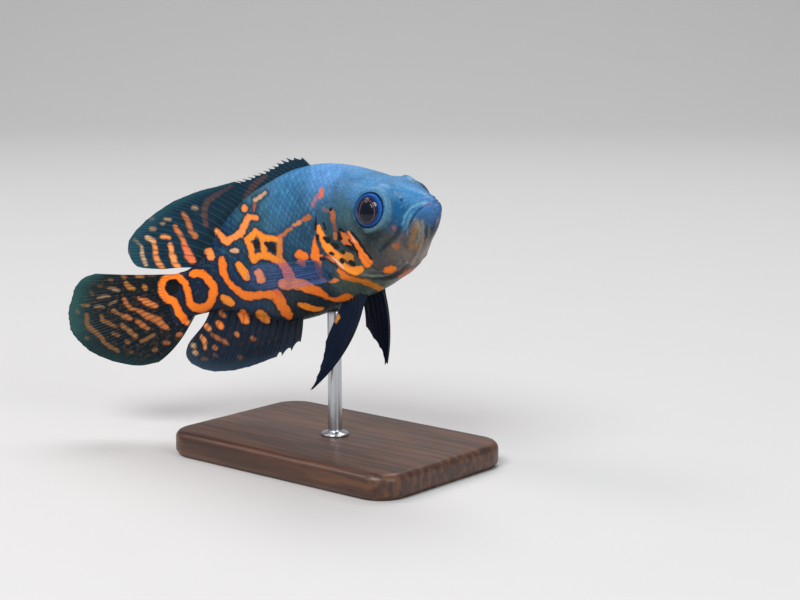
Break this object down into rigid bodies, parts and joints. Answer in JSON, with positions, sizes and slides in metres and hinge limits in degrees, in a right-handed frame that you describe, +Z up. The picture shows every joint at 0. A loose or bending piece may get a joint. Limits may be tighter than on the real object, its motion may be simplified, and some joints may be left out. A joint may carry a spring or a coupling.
{
  "type": "oscar fish display model",
  "caption": "Life-size young oscar fish, swimming nose-up with its tail swung to one side, held over a flat base by a short rod.",
  "frame": {"origin": "centre of the stand base's underside", "axes": "+X the way the fish heads, +Y toward its left side, +Z up"},
  "size_m": [0.181, 0.077, 0.1196],
  "materials": {
    "skin": "wet scaly skin, dark teal with orange markings",
    "eye": "glossy eye, dark pupil and blue iris",
    "fin": "dark fin membrane over soft rays",
    "clear_fin": "thin see-through fin membrane over pale rays",
    "base_wood": "dark stained wood, satin",
    "rod_steel": "brushed steel rod"
  },
  "bodies": {
    "root": {"head": "skin", "lower_jaw": "skin", "gill_cover_right": "skin", "gill_cover_left": "skin", "trunk": "skin", "tail_base": "skin", "eye_right": "eye", "eye_left": "eye", "dorsal_fin": "fin", "anal_fin": "fin", "caudal_fin": "fin", "pectoral_fin_right": "clear_fin", "pectoral_fin_left": "clear_fin", "pelvic_fin_right": "fin", "pelvic_fin_left": "fin", "stand_base": "base_wood", "stand_rod": "rod_steel"}
  },
  "joints": []
}
